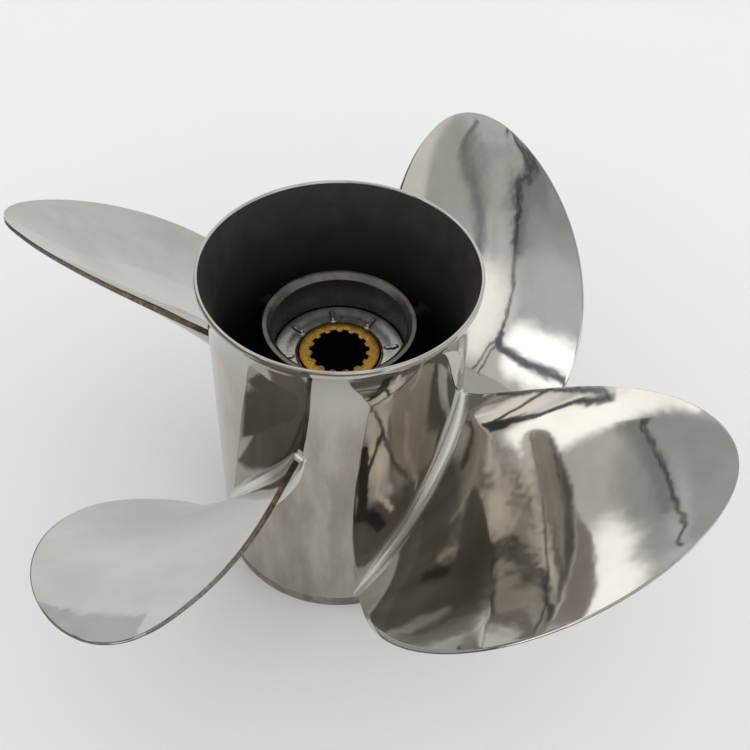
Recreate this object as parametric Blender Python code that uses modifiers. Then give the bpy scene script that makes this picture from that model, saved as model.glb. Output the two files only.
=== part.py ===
# Four-blade stainless propeller with exhaust through its hub, standing on its front end.
# Metres. The shaft axis is +Z, z = 0 is the front end face and the flared rear end is up.

import math

import bmesh
import bpy

NAME = "ship_propeller"
TOUCH_GAP = 0.0003
TURN_STEPS = 72

# Barrel: the outer tube that the blades stand on.
BARREL_LENGTH = 0.1812
BARREL_FRONT_R = 0.0597
BAND_HEIGHT = 0.0074
BAND_TOP_R = 0.0600
FLARE_START_Z = 0.1542
FLARE_START_R = 0.0612
RIM_R = 0.0655
RIM_WALL = 0.0019
LIP_HEIGHT = 0.0042
BARREL_WALL = 0.0034
FLARE_STEPS = 5
LIP_OUTER_STEP = 0.0003

# Inner hub: the tube that holds the bush, with its recess at the rear.
HUB_FRONT_Z = 0.016
HUB_REAR_Z = 0.1484
HUB_R = 0.0364
HUB_BORE_R = 0.0318
HUB_BEVEL = 0.0025
HUB_EDGE = 0.0006

# Webs between the inner hub and the barrel.
RIB_THICK = 0.0055
RIB_FRONT_Z = 0.030
RIB_REAR_Z = 0.124
RIB_OVERLAP = 0.0045

# Bush, splined sleeve and the steel plate over the bush.
SLEEVE_FRONT_Z = 0.010
SLEEVE_REAR_Z = 0.1292
SLEEVE_R = 0.0194
SLEEVE_EDGE = 0.0008
SPLINE_TEETH = 15
SPLINE_GROOVE_R = 0.0144
SPLINE_TIP_R = 0.0129
# Shares of one tooth pitch at which the groove starts and ends and the tooth starts and ends.
SPLINE_GROOVE_SHARES = (0.06, 0.44)
SPLINE_TOOTH_SHARES = (0.60, 0.90)
BUSH_FRONT_Z = 0.024
BUSH_REAR_Z = 0.1251
PLATE_R = 0.0314
PLATE_HOLE_R = 0.0212
PLATE_THICK = 0.0022
PLATE_DISH = 0.0008
PLATE_RIBS = 8
PLATE_RIB_R = 0.0252
PLATE_RIB_SIZE = (0.0068, 0.0026)
PLATE_RIB_TOP_Z = 0.1291
PLATE_RIB_ANGLE = math.radians(8)

# Blades: four, right-handed, with a constant pitch.
BLADES = 4
FIRST_BLADE_ANGLE = math.radians(-48.85)
TIP_R = 0.1922
ROOT_R = 0.0610
PITCH = 0.543
# Half the chord and the skew, in degrees, and the height of the middle of the chord,
# each at the root, one third and two thirds of the span, and the tip.
HALF_CHORD = (31.4, 32.2, 28.1, 20.4)
SKEW = (0.0, 1.4, 8.3, 19.1)
MIDDLE_Z = (0.0705, 0.0872, 0.1133, 0.1412)
TIP_ROUNDING = 2.8
ROOT_THICK = 0.0080
TIP_THICK = 0.0026
LEADING_EDGE_THICK = 0.0010
TRAILING_EDGE_ROOT = 0.0030
TRAILING_EDGE_TIP = 0.0018
# How the thickness falls along the span and across the chord.
THICKNESS_FALL = 1.3
SECTION_FULLNESS = 2.4
# The leading edge dips towards the front end near the root.
NOSE_DROP = 0.0120
NOSE_SPAN = 0.20
# The cup lifts the trailing part of the rear face.
CUP_RISE = 0.0016
CUP_SHARE = 0.30
FILLET_R = 0.0055
FILLET_LOSS_AT_NOSE = 0.75
FILLET_STEPS = (-0.0040, 0.0002, 0.0012, 0.0028, 0.0052)
SPAN_STEPS = (0.10, 0.18, 0.28, 0.39, 0.50, 0.60, 0.70, 0.78, 0.85, 0.91, 0.955, 0.98, 0.996)
CHORD_STEPS = 12


def clear_scene():
    for old in list(bpy.data.objects):
        bpy.data.objects.remove(old, do_unlink=True)


def new_collection(name):
    group = bpy.data.collections.new(name)
    bpy.context.scene.collection.children.link(group)
    return group


def material(name, color, roughness, metallic):
    made = bpy.data.materials.new(name)
    made.use_nodes = True
    shader = made.node_tree.nodes["Principled BSDF"]
    shader.inputs["Base Color"].default_value = (*color, 1.0)
    shader.inputs["Roughness"].default_value = roughness
    shader.inputs["Metallic"].default_value = metallic
    return made


def add_object(name, mesh, group, finish=None):
    made = bpy.data.objects.new(name, mesh)
    group.objects.link(made)
    if finish:
        mesh.materials.append(finish)
    return made


def shade_round(mesh):
    mesh.shade_smooth()
    mesh.set_sharp_from_angle(angle=math.radians(30))


def mesh_from(name, points, faces):
    mesh = bpy.data.meshes.new(name)
    mesh.from_pydata(points, [], faces)
    shape = bmesh.new()
    shape.from_mesh(mesh)
    bmesh.ops.recalc_face_normals(shape, faces=shape.faces)
    shape.to_mesh(mesh)
    shape.free()
    return mesh


def as_cutter(made):
    made.hide_render = True
    made.display_type = "WIRE"
    return made


def boolean(target, other, operation):
    step = target.modifiers.new(other.name, "BOOLEAN")
    step.operation = operation
    step.object = other
    step.solver = "EXACT"


def turned(name, profile, group, finish=None):
    """A closed ring turned from (radius, z) points that run down its outer side and up its inner one."""
    mesh = bpy.data.meshes.new(name)
    count = len(profile)
    edges = [(i, (i + 1) % count) for i in range(count)]
    mesh.from_pydata([(radius, 0.0, z) for radius, z in profile], edges, [])
    made = add_object(name, mesh, group, finish)
    screw = made.modifiers.new("Turn", "SCREW")
    screw.axis = "Z"
    screw.angle = math.tau
    screw.steps = TURN_STEPS
    screw.render_steps = TURN_STEPS
    screw.use_merge_vertices = True
    screw.merge_threshold = 0.00002
    screw.use_smooth_shade = True
    return made


def flare_radius(z):
    """Outer radius of the barrel: a slow taper, then a concave flare up to the rim."""
    if z <= BAND_HEIGHT:
        return BARREL_FRONT_R + (BAND_TOP_R - BARREL_FRONT_R) * z / BAND_HEIGHT
    if z <= FLARE_START_Z:
        share = (z - BAND_HEIGHT) / (FLARE_START_Z - BAND_HEIGHT)
        return BAND_TOP_R + (FLARE_START_R - BAND_TOP_R) * share
    share = min(1.0, (z - FLARE_START_Z) / (BARREL_LENGTH - LIP_HEIGHT - FLARE_START_Z))
    return FLARE_START_R + (RIM_R - FLARE_START_R) * share**2


def barrel_heights():
    top = BARREL_LENGTH - LIP_HEIGHT
    flare = [top + (FLARE_START_Z - top) * i / FLARE_STEPS for i in range(FLARE_STEPS + 1)]
    return flare + [BAND_HEIGHT, 0.0]


def barrel_profile():
    lip = RIM_WALL / 2
    outer = [(flare_radius(z), z) for z in barrel_heights()]
    rounding = [(RIM_R - lip, BARREL_LENGTH), (RIM_R - LIP_OUTER_STEP, BARREL_LENGTH - lip)]
    inner_low = [(BARREL_FRONT_R - BARREL_WALL, 0.0), (BAND_TOP_R - BARREL_WALL, BAND_HEIGHT)]
    inner_high = [(flare_radius(z) - BARREL_WALL, z) for z in reversed(barrel_heights()[:-2])]
    inner_lip = [(RIM_R - RIM_WALL, BARREL_LENGTH - lip)]
    return rounding + outer + inner_low + inner_high + inner_lip


def build_barrel(group, finish):
    turned("barrel", barrel_profile(), group, finish)


def build_inner_hub(group, finish):
    bevel_z = HUB_REAR_Z - HUB_BEVEL
    profile = [
        (HUB_R - HUB_EDGE, HUB_REAR_Z),
        (HUB_R, HUB_REAR_Z - HUB_EDGE),
        (HUB_R, HUB_FRONT_Z + HUB_EDGE),
        (HUB_R - HUB_EDGE, HUB_FRONT_Z),
        (HUB_BORE_R + HUB_EDGE, HUB_FRONT_Z),
        (HUB_BORE_R, HUB_FRONT_Z + HUB_EDGE),
        (HUB_BORE_R, bevel_z),
        (HUB_BORE_R + HUB_BEVEL, HUB_REAR_Z),
    ]
    turned("inner_hub", profile, group, finish)


def box_mesh(name, size):
    shape = bmesh.new()
    bmesh.ops.create_cube(shape, size=1.0)
    bmesh.ops.scale(shape, vec=size, verts=shape.verts)
    mesh = bpy.data.meshes.new(name)
    shape.to_mesh(mesh)
    shape.free()
    return mesh


def place_round_axis(made, radius, angle, z):
    made.location = (radius * math.cos(angle), radius * math.sin(angle), z)
    made.rotation_euler = (0.0, 0.0, angle)


def build_ribs(group, cutters, finish):
    """Four webs, cut to the inner hub and to the inside of the barrel."""
    inset = BARREL_WALL + TOUCH_GAP
    space = [
        (flare_radius(FLARE_START_Z) - inset, FLARE_START_Z),
        (flare_radius(BAND_HEIGHT) - inset, BAND_HEIGHT),
        (HUB_R + TOUCH_GAP, BAND_HEIGHT),
        (HUB_R + TOUCH_GAP, FLARE_START_Z),
    ]
    annulus = as_cutter(turned("rib_space", space, cutters))
    size = (BARREL_FRONT_R - HUB_R + 2 * RIB_OVERLAP, RIB_THICK, RIB_REAR_Z - RIB_FRONT_Z)
    radius = (BARREL_FRONT_R + HUB_R) / 2
    height = (RIB_FRONT_Z + RIB_REAR_Z) / 2
    for number in range(BLADES):
        name = f"hub_rib_{number + 1}"
        rib = add_object(name, box_mesh(name, size), group, finish)
        place_round_axis(rib, radius, FIRST_BLADE_ANGLE + number * math.tau / BLADES, height)
        boolean(rib, annulus, "INTERSECT")


def build_bush(group, finish):
    profile = [
        (HUB_BORE_R - TOUCH_GAP, BUSH_REAR_Z),
        (HUB_BORE_R - TOUCH_GAP, BUSH_FRONT_Z),
        (SLEEVE_R + TOUCH_GAP, BUSH_FRONT_Z),
        (SLEEVE_R + TOUCH_GAP, BUSH_REAR_Z),
    ]
    turned("rubber_bush", profile, group, finish)


def spline_outline():
    """The bore's outline: flat-topped teeth with straight flanks, one pitch at a time."""
    shares = [(share, SPLINE_GROOVE_R) for share in SPLINE_GROOVE_SHARES]
    shares += [(share, SPLINE_TIP_R) for share in SPLINE_TOOTH_SHARES]
    outline = []
    for tooth in range(SPLINE_TEETH):
        for share, radius in shares:
            angle = math.tau * (tooth + share) / SPLINE_TEETH
            outline.append((radius * math.cos(angle), radius * math.sin(angle)))
    return outline


def build_sleeve(group, cutters, finish):
    """A brass tube whose bore is cut by a toothed prism."""
    profile = [
        (SLEEVE_R - SLEEVE_EDGE, SLEEVE_REAR_Z),
        (SLEEVE_R, SLEEVE_REAR_Z - SLEEVE_EDGE),
        (SLEEVE_R, SLEEVE_FRONT_Z + SLEEVE_EDGE),
        (SLEEVE_R - SLEEVE_EDGE, SLEEVE_FRONT_Z),
        (SPLINE_TIP_R / 2, SLEEVE_FRONT_Z),
        (SPLINE_TIP_R / 2, SLEEVE_REAR_Z),
    ]
    sleeve = turned("spline_sleeve", profile, group, finish)
    outline = spline_outline()
    count = len(outline)
    low, high = SLEEVE_FRONT_Z - PLATE_THICK, SLEEVE_REAR_Z + PLATE_THICK
    points = [(x, y, low) for x, y in outline] + [(x, y, high) for x, y in outline]
    sides = [(i, (i + 1) % count, count + (i + 1) % count, count + i) for i in range(count)]
    ends = [tuple(range(count)), tuple(range(count, 2 * count))]
    broach = as_cutter(add_object("spline_broach", mesh_from("spline_broach", points, sides + ends), cutters))
    boolean(sleeve, broach, "DIFFERENCE")


def build_plate(group, cutters, finish):
    """A dished steel washer with short raised ribs, seated on the bush."""
    low = BUSH_REAR_Z + TOUCH_GAP
    waist = (PLATE_R + PLATE_HOLE_R) / 2
    profile = [
        (PLATE_R, low + PLATE_THICK + PLATE_DISH),
        (PLATE_R, low + PLATE_DISH),
        (waist, low),
        (PLATE_HOLE_R, low),
        (PLATE_HOLE_R, low + PLATE_THICK),
        (waist, low + PLATE_THICK),
    ]
    plate = turned("retaining_plate", profile, group, finish)
    middle = low + PLATE_THICK / 2
    size = (*PLATE_RIB_SIZE, PLATE_RIB_TOP_Z - middle)
    for number in range(PLATE_RIBS):
        name = f"plate_rib_{number + 1}"
        rib = as_cutter(add_object(name, box_mesh(name, size), cutters))
        angle = PLATE_RIB_ANGLE + number * math.tau / PLATE_RIBS
        place_round_axis(rib, PLATE_RIB_R, angle, (middle + PLATE_RIB_TOP_Z) / 2)
        boolean(plate, rib, "UNION")


def along_span(values, span):
    """The smooth curve through four values at 0, 1/3, 2/3 and 1 of the span."""
    total = 0.0
    for i, value in enumerate(values):
        weight = 1.0
        for j in range(len(values)):
            if j != i:
                weight *= (3.0 * span - j) / (i - j)
        total += value * weight
    return total


def blade_thickness(span, chord):
    """Full thickness at a place on the blade; chord runs from -1, leading, to 1, trailing."""
    middle = TIP_THICK + (ROOT_THICK - TIP_THICK) * (1.0 - span) ** THICKNESS_FALL
    edge = LEADING_EDGE_THICK
    if chord > 0.0:
        edge = TRAILING_EDGE_ROOT + (TRAILING_EDGE_TIP - TRAILING_EDGE_ROOT) * span**2
    return edge + (middle - edge) * (1.0 - abs(chord) ** SECTION_FULLNESS)


def blade_fillet(distance):
    if distance >= FILLET_R:
        return 0.0
    low = FILLET_R - max(0.0, distance)
    return FILLET_R - math.sqrt(FILLET_R**2 - low**2)


def blade_point(radius, chord, side):
    """A point of the rear (side 1) or front (side 0) face, on the helix of the constant pitch."""
    span = (radius - ROOT_R) / (TIP_R - ROOT_R)
    inside = max(0.0, span)
    half = math.radians(along_span(HALF_CHORD, span)) * math.sqrt(1.0 - inside**TIP_ROUNDING)
    angle = math.radians(along_span(SKEW, span)) + half * chord
    z = along_span(MIDDLE_Z, span) + PITCH / math.tau * half * chord
    near_root = max(0.0, 1.0 - inside / NOSE_SPAN)
    z -= NOSE_DROP * near_root**2 * ((1.0 - chord) / 2) ** 3
    cup = max(0.0, (chord - 1.0 + CUP_SHARE) / CUP_SHARE)
    edge_share = 1.0 - FILLET_LOSS_AT_NOSE * max(0.0, -chord) ** 3
    fillet = blade_fillet(radius - ROOT_R) * edge_share
    offset = fillet if side else -fillet - blade_thickness(inside, chord)
    offset += CUP_RISE * cup**2
    slope = math.atan2(PITCH / math.tau, radius)
    angle -= offset * math.sin(slope) / radius
    z += offset * math.cos(slope)
    return radius * math.cos(angle), radius * math.sin(angle), z


def blade_mesh():
    """A loft through closed sections, each on its own radius, from inside the barrel to the tip."""
    radii = [ROOT_R + step for step in FILLET_STEPS]
    radii += [ROOT_R + step * (TIP_R - ROOT_R) for step in SPAN_STEPS]
    chords = [-math.cos(math.pi * i / CHORD_STEPS) for i in range(CHORD_STEPS + 1)]
    ring = 2 * len(chords)
    points = []
    for radius in radii:
        points += [blade_point(radius, chord, 1) for chord in chords]
        points += [blade_point(radius, chord, 0) for chord in reversed(chords)]
    faces = []
    for row in range(len(radii) - 1):
        base = row * ring
        for i in range(ring):
            j = (i + 1) % ring
            faces.append((base + i, base + j, base + ring + j, base + ring + i))
    for base in (0, (len(radii) - 1) * ring):
        for i in range(CHORD_STEPS):
            faces.append((base + i, base + i + 1, base + ring - 2 - i, base + ring - 1 - i))
    return mesh_from("blade", points, faces)


def build_blades(group, cutters, finish):
    """Four copies of one blade, each with its foot cut to the barrel's outside."""
    top = BARREL_LENGTH - LIP_HEIGHT
    outside = [(flare_radius(z) + TOUCH_GAP, z) for z in (top, FLARE_START_Z, BAND_HEIGHT)]
    outside += [(BAND_TOP_R + TOUCH_GAP, -BAND_HEIGHT), (HUB_R, -BAND_HEIGHT), (HUB_R, top)]
    core = as_cutter(turned("blade_foot_cutter", outside, cutters))
    mesh = blade_mesh()
    mesh.materials.append(finish)
    shade_round(mesh)
    for number in range(BLADES):
        blade = add_object(f"blade_{number + 1}", mesh, group)
        blade.rotation_euler = (0.0, 0.0, FIRST_BLADE_ANGLE + number * math.tau / BLADES)
        boolean(blade, core, "DIFFERENCE")


def main():
    clear_scene()
    group = new_collection(NAME)
    cutters = new_collection("cutters")
    polished = material("polished_stainless", (0.66, 0.65, 0.62), 0.12, 1.0)
    dark = material("dark_casting", (0.05, 0.05, 0.05), 0.60, 0.9)
    turned_steel = material("turned_steel", (0.38, 0.37, 0.34), 0.40, 1.0)
    stamped = material("stamped_steel", (0.20, 0.20, 0.20), 0.38, 1.0)
    brass = material("sintered_brass", (0.55, 0.38, 0.11), 0.38, 1.0)
    rubber = material("black_rubber", (0.015, 0.015, 0.015), 0.75, 0.0)
    build_barrel(group, polished)
    build_blades(group, cutters, polished)
    build_inner_hub(group, turned_steel)
    build_ribs(group, cutters, dark)
    build_bush(group, rubber)
    build_sleeve(group, cutters, brass)
    build_plate(group, cutters, stamped)
    cutters.hide_render = True


main()
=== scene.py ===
# Looks of the four-blade stainless propeller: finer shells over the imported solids, materials, light and camera.
# Metres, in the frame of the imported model: the shaft axis is +Z and z = 0 is the front end face.

import math

import bpy
import numpy as np
from mathutils import Matrix, Vector


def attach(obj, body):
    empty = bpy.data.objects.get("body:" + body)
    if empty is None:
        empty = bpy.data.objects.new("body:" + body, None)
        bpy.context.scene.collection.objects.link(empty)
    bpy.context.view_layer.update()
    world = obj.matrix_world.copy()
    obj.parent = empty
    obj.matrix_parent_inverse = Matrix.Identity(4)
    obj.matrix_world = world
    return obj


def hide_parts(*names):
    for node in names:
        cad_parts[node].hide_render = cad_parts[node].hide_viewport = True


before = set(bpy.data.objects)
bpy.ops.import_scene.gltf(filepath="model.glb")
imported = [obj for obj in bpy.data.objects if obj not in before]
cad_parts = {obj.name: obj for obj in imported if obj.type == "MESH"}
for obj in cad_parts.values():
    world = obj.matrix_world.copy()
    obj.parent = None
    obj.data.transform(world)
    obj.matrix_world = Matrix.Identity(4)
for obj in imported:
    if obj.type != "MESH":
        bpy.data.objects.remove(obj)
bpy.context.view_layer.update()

# Barrel, as in the solids.
BARREL_LENGTH = 0.1812
BARREL_FRONT_R = 0.0597
BAND_HEIGHT = 0.0074
BAND_TOP_R = 0.0600
FLARE_START_Z = 0.1542
FLARE_START_R = 0.0612
RIM_R = 0.0655
RIM_WALL = 0.0019
LIP_HEIGHT = 0.0042
BARREL_WALL = 0.0034
BARREL_STEPS = 320

# Inner hub, webs, bush, sleeve and plate, as in the solids.
HUB_FRONT_Z = 0.016
HUB_REAR_Z = 0.1484
HUB_R = 0.0364
HUB_BORE_R = 0.0318
HUB_BEVEL = 0.0025
RIB_THICK = 0.0055
RIB_FRONT_Z = 0.030
RIB_REAR_Z = 0.124
SLEEVE_FRONT_Z = 0.010
SLEEVE_REAR_Z = 0.1292
SLEEVE_R = 0.0194
SPLINE_TEETH = 15
SPLINE_GROOVE_R = 0.0144
SPLINE_TIP_R = 0.0129
BUSH_FRONT_Z = 0.024
BUSH_REAR_Z = 0.1251
PLATE_R = 0.0314
PLATE_HOLE_R = 0.0212
PLATE_THICK = 0.0022
PLATE_DISH = 0.0008
PLATE_RIBS = 8
PLATE_RIB_R = 0.0252
PLATE_RIB_SIZE = (0.0070, 0.0028)
PLATE_RIB_ANGLE = math.radians(8)

# Blades, as in the solids.
BLADES = 4
FIRST_BLADE_ANGLE = math.radians(-48.85)
TIP_R = 0.1922
ROOT_R = 0.0610
PITCH = 0.543
HALF_CHORD = (31.4, 32.2, 28.1, 20.4)
SKEW = (0.0, 1.4, 8.3, 19.1)
MIDDLE_Z = (0.0705, 0.0872, 0.1133, 0.1412)
TIP_ROUNDING = 2.8
ROOT_THICK = 0.0080
TIP_THICK = 0.0026
THICKNESS_FALL = 1.3
SECTION_FULLNESS = 2.4
LEADING_EDGE = (0.0010, 0.0015)
TRAILING_EDGE = (0.0030, 0.0018)
NOSE_DROP = 0.0120
NOSE_SPAN = 0.20
CUP_RISE = 0.0016
CUP_SHARE = 0.30
FILLET_R = 0.0055


def along(values, span):
    """The smooth curve through four values at 0, 1/3, 2/3 and 1 of the span."""
    total = 0.0
    for i, value in enumerate(values):
        weight = 1.0
        for j in range(len(values)):
            if j != i:
                weight = weight * (3.0 * span - j) / (i - j)
        total = total + value * weight
    return total


def smooth(low, high, value):
    """0 below low, 1 above high and a smooth step between."""
    share = np.clip((value - low) / (high - low), 0.0, 1.0)
    return share * share * (3.0 - 2.0 * share)


def barrel_radius(z):
    """Outer radius of the barrel without its lip; the flare runs on from the tube's slope."""
    top = BARREL_LENGTH - LIP_HEIGHT
    slope = (FLARE_START_R - BAND_TOP_R) / (FLARE_START_Z - BAND_HEIGHT)
    band = BARREL_FRONT_R + (BAND_TOP_R - BARREL_FRONT_R) * np.clip(z / BAND_HEIGHT, 0.0, 1.0)
    tube = slope * np.maximum(0.0, z - BAND_HEIGHT)
    flare = np.clip((z - FLARE_START_Z) / (top - FLARE_START_Z), 0.0, 1.0)
    return band + tube + (RIM_R - BAND_TOP_R - slope * (top - BAND_HEIGHT)) * flare**2


def ripple(seed, u, v, wavelength, height, count=14):
    """A gentle hand-polished unevenness: a sum of slow waves in two surface coordinates, in metres."""
    draw = np.random.RandomState(seed)
    total = np.zeros(np.broadcast(u, v).shape)
    for _ in range(count):
        heading = draw.uniform(0.0, math.tau)
        number = math.tau / (wavelength * draw.uniform(0.7, 1.8))
        phase = draw.uniform(0.0, math.tau)
        total += np.sin(number * (u * math.cos(heading) + v * math.sin(heading)) + phase)
    return total * height / math.sqrt(count)


def link(name, mesh):
    made = bpy.data.objects.new(name, mesh)
    bpy.context.scene.collection.objects.link(made)
    return made


def piece(name, points, faces, finishes, finish_of_face=None, sharp_angle=40.0):
    """A mesh object from point and face arrays, with its finishes and smooth shading."""
    mesh = bpy.data.meshes.new(name)
    mesh.from_pydata(np.asarray(points).tolist(), [], [tuple(face) for face in faces])
    for finish in finishes:
        mesh.materials.append(finish)
    if finish_of_face is not None:
        mesh.polygons.foreach_set("material_index", np.asarray(finish_of_face, dtype=np.int32))
    mesh.shade_smooth()
    mesh.set_sharp_from_angle(angle=math.radians(sharp_angle))
    mesh.update()
    return link(name, mesh)


def grid_faces(rows, cols, wrap_rows=False):
    """Quads of a grid whose columns close on themselves; the rows may close too."""
    faces = []
    for i in range(rows if wrap_rows else rows - 1):
        low, high = i * cols, ((i + 1) % rows) * cols
        for j in range(cols):
            k = (j + 1) % cols
            faces.append((low + j, low + k, high + k, high + j))
    return faces


def rounded(corner, before, after, radius, steps=5):
    """Points of a small rounding of a profile's corner, from the side of before to the side of after."""
    corner, before, after = (np.array(p, dtype=float) for p in (corner, before, after))
    start = corner + (before - corner) / np.linalg.norm(before - corner) * radius
    end = corner + (after - corner) / np.linalg.norm(after - corner) * radius
    shares = np.linspace(0.0, 1.0, steps)[:, None]
    return ((1 - shares) ** 2 * start + 2 * shares * (1 - shares) * corner + shares**2 * end).tolist()


def round_profile(corners, radii):
    """A closed profile with each corner rounded by its own radius."""
    profile = []
    count = len(corners)
    for i, corner in enumerate(corners):
        if radii[i] > 0:
            profile += rounded(corner, corners[i - 1], corners[(i + 1) % count], radii[i])
        else:
            profile.append(list(corner))
    return profile


def turn(name, profile, steps, finishes, finish_of_row=None, shift=None):
    """A closed (radius, z) profile turned about the axis. shift gives a change of radius for (radius, z, angle)."""
    profile = np.array(profile, dtype=float)
    angles = np.arange(steps) * math.tau / steps
    radius = profile[:, 0][:, None] + np.zeros((1, steps))
    height = profile[:, 1][:, None] + np.zeros((1, steps))
    angle = angles[None, :] + np.zeros((len(profile), 1))
    if shift is not None:
        radius = radius + shift(radius, height, angle)
    points = np.stack([radius * np.cos(angle), radius * np.sin(angle), height], -1).reshape(-1, 3)
    faces = [face[::-1] for face in grid_faces(len(profile), steps, wrap_rows=True)]
    of_face = None if finish_of_row is None else np.repeat(finish_of_row, steps)
    return piece(name, points, faces, finishes, of_face)


# Materials

# Between these distances from the axis the blades' fillets change from satin to polished.
FOOT_FINISH = (0.0632, 0.0668)


class Nodes:
    """A small helper that adds and joins shader nodes of one material."""

    def __init__(self, name):
        self.material = bpy.data.materials.new(name)
        self.material.use_nodes = True
        self.tree = self.material.node_tree
        self.shader = self.tree.nodes["Principled BSDF"]
        self.place = self.add("ShaderNodeTexCoord").outputs["Object"]

    def add(self, kind, **settings):
        made = self.tree.nodes.new(kind)
        for key, value in settings.items():
            setattr(made, key, value)
        return made

    def join(self, source, target):
        self.tree.links.new(source, target)

    def put(self, target, value):
        if isinstance(value, bpy.types.NodeSocket):
            self.join(value, target)
        else:
            target.default_value = value

    def stretched(self, scale, turn_by=(0.0, 0.0, 0.0), source=None):
        node = self.add("ShaderNodeMapping")
        self.join(source or self.place, node.inputs["Vector"])
        node.inputs["Scale"].default_value = scale
        node.inputs["Rotation"].default_value = turn_by
        return node.outputs["Vector"]

    def noise(self, scale, detail=4.0, rough=0.55, place=None, distort=0.0):
        node = self.add("ShaderNodeTexNoise")
        self.join(place or self.place, node.inputs["Vector"])
        node.inputs["Scale"].default_value = scale
        node.inputs["Detail"].default_value = detail
        node.inputs["Roughness"].default_value = rough
        node.inputs["Distortion"].default_value = distort
        return node.outputs["Fac"]

    def spread(self, value, low, high, to_low=0.0, to_high=1.0):
        node = self.add("ShaderNodeMapRange", interpolation_type="SMOOTHSTEP")
        self.put(node.inputs["Value"], value)
        for socket, number in zip(("From Min", "From Max", "To Min", "To Max"), (low, high, to_low, to_high)):
            node.inputs[socket].default_value = number
        return node.outputs["Result"]

    def math(self, operation, a, b=0.0, c=0.0):
        node = self.add("ShaderNodeMath", operation=operation)
        for socket, value in zip(node.inputs, (a, b, c)):
            self.put(socket, value)
        return node.outputs[0]

    def mix(self, share, a, b):
        node = self.add("ShaderNodeMix", data_type="RGBA")
        self.put(node.inputs["Factor"], share)
        for socket, color in ((node.inputs[6], a), (node.inputs[7], b)):
            self.put(socket, color if isinstance(color, bpy.types.NodeSocket) else (*color, 1.0))
        return node.outputs[2]

    def bump(self, height, distance, strength=1.0, normal=None):
        node = self.add("ShaderNodeBump")
        node.inputs["Strength"].default_value = strength
        node.inputs["Distance"].default_value = distance
        self.join(height, node.inputs["Height"])
        if normal is not None:
            self.join(normal, node.inputs["Normal"])
        return node.outputs["Normal"]

    def axis_parts(self):
        """(x, y, z) of the place, and the distance from the shaft axis."""
        parts = self.add("ShaderNodeSeparateXYZ")
        self.join(self.place, parts.inputs[0])
        x, y, z = parts.outputs
        radius = self.math("SQRT", self.math("ADD", self.math("MULTIPLY", x, x), self.math("MULTIPLY", y, y)))
        return x, y, z, radius

    def done(self, **inputs):
        for key, value in inputs.items():
            socket = self.shader.inputs[key.replace("_", " ")]
            if isinstance(value, tuple):
                value = (*value, 1.0)
            self.put(socket, value)
        return self.material


def polished_steel(name, dull, bright, streaked, marks, unshaded=None, satin_foot=False):
    """Mirror-polished steel: slow hand-polished waves, a faint haze and fine wheel marks of a depth in metres.

    The unshaded colour, when given, is used away from the side at -Y and nearer the rim; on the side at -Y the darker
    streaked colour is painted shade, standing in for the shaded floor the tube mirrors there.
    satin_foot makes the fillets at the blades' roots less glossy, where only a small wheel reaches.
    """
    n = Nodes(name)
    x, y, z, radius = n.axis_parts()
    clouds = n.noise(28.0, 3.0)
    streaks = n.noise(1.0, 4.0, 0.6, n.stretched((70.0, 70.0, 16.0)))
    share = n.math("ADD", n.math("MULTIPLY", clouds, 1.0 - streaked), n.math("MULTIPLY", streaks, streaked))
    color = n.mix(n.spread(share, 0.34, 0.66), dull, bright)
    haze = n.math("ADD", n.spread(clouds, 0.3, 0.7, 0.030, 0.055), n.math("MULTIPLY", n.noise(700.0, 2.0), 0.03))
    # Painted shade: low on the tube's side at -Y the steel keeps its darker streaked colour.
    if unshaded is not None:
        share = n.math("MAXIMUM", n.spread(y, -0.046, -0.016), n.spread(z, 0.125, 0.175, 0.0, 0.8))
        color = n.mix(share, color, unshaded)
    if satin_foot:
        foot = n.spread(radius, FOOT_FINISH[1], FOOT_FINISH[0])
        color = n.mix(foot, color, (0.84, 0.83, 0.80))
        haze = n.math("ADD", haze, n.math("MULTIPLY", foot, 0.20))
    normal = n.bump(n.noise(1.0, 3.0, place=n.stretched((1500.0, 120.0, 120.0), (0.3, 0.2, 0.5))), marks)
    normal = n.bump(n.noise(45.0, 1.0), 0.00007, normal=normal)
    normal = n.bump(n.noise(130.0, 1.0), 0.00003, normal=normal)
    return n.done(Base_Color=color, Metallic=1.0, Roughness=haze, Normal=normal)


def unpolished_steel():
    n = Nodes("unpolished_band")
    patches = n.noise(140.0, 5.0, 0.6)
    color = n.mix(n.spread(patches, 0.3, 0.7), (0.23, 0.20, 0.165), (0.42, 0.39, 0.34))
    rough = n.spread(patches, 0.3, 0.7, 0.28, 0.42)
    normal = n.bump(n.noise(500.0, 4.0), 0.00008)
    return n.done(Base_Color=color, Metallic=1.0, Roughness=rough, Normal=normal)


def dark_casting():
    n = Nodes("dark_casting")
    patches = n.noise(90.0, 5.0, 0.6)
    x, y, z, radius = n.axis_parts()
    color = n.mix(n.spread(patches, 0.3, 0.7), (0.025, 0.0245, 0.023), (0.036, 0.0345, 0.0325))
    # Painted shade: darker deep in the barrel, below z 0.115 to 0.165.
    color = n.mix(n.spread(z, 0.115, 0.165), (0.017, 0.017, 0.0165), color)
    rough = n.spread(patches, 0.3, 0.7, 0.66, 0.76)
    normal = n.bump(n.noise(1400.0, 3.0), 0.00010)
    return n.done(Base_Color=color, Metallic=0.3, Roughness=rough, Normal=normal)


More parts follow.
